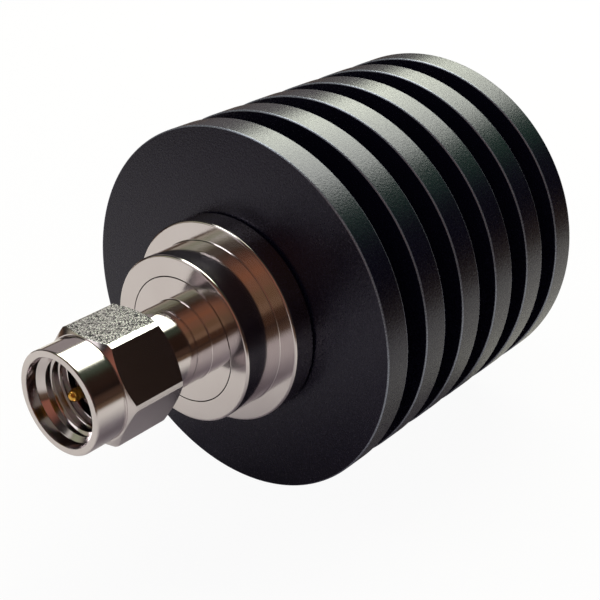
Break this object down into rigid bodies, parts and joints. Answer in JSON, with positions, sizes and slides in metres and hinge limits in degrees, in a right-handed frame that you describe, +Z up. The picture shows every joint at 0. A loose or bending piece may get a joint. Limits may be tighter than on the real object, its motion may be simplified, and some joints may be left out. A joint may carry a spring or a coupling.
{
  "type": "coaxial attenuator",
  "caption": "Coaxial attenuator with a hex-nut SMA plug, stepped end caps, a round finned black heat sink and a threaded jack.",
  "frame": {"origin": "on the axis, at the plug's reference plane inside the coupling nut", "axes": "+X along the axis from the plug to the jack, +Z up as the part lies on its fins"},
  "size_m": [0.0571, 0.0292, 0.0292],
  "materials": {
    "coupling_nut": "bright nickel plate",
    "nut_retaining_ring": "bare beryllium copper",
    "nut_gasket": "red silicone",
    "plug_body": "polished nickel plate",
    "plug_dielectric": "white PTFE",
    "plug_centre_pin": "gold plate",
    "front_cap": "satin nickel plate",
    "heat_sink": "black anodised, bead blasted",
    "front_bead": "amber polyetherimide",
    "rear_bead": "amber polyetherimide",
    "element_carrier": "bare copper",
    "element_cover": "bare copper",
    "attenuator_chip": "ceramic with a resistive film",
    "input_tab": "gold ribbon",
    "output_tab": "gold ribbon",
    "cover_screw_1": "bare steel",
    "cover_screw_2": "bare steel",
    "cover_screw_3": "bare steel",
    "cover_screw_4": "bare steel",
    "rear_cap": "satin nickel plate",
    "jack_body": "bright nickel plate",
    "jack_dielectric": "white PTFE",
    "jack_centre_contact": "gold plate"
  },
  "bodies": {
    "attenuator": {"nut_retaining_ring": "nut_retaining_ring", "nut_gasket": "nut_gasket", "plug_body": "plug_body", "plug_dielectric": "plug_dielectric", "plug_centre_pin": "plug_centre_pin", "front_cap": "front_cap", "heat_sink": "heat_sink", "front_bead": "front_bead", "rear_bead": "rear_bead", "element_carrier": "element_carrier", "element_cover": "element_cover", "attenuator_chip": "attenuator_chip", "input_tab": "input_tab", "output_tab": "output_tab", "cover_screw_1": "cover_screw_1", "cover_screw_2": "cover_screw_2", "cover_screw_3": "cover_screw_3", "cover_screw_4": "cover_screw_4", "rear_cap": "rear_cap", "jack_body": "jack_body", "jack_dielectric": "jack_dielectric", "jack_centre_contact": "jack_centre_contact"},
    "coupling": {"coupling_nut": "coupling_nut"}
  },
  "joints": [
    {"name": "nut_spin", "type": "hinge", "parent": "attenuator", "child": "coupling", "pos_m": [0, 0, 0], "axis": [1, 0, 0], "continuous": true}
  ]
}
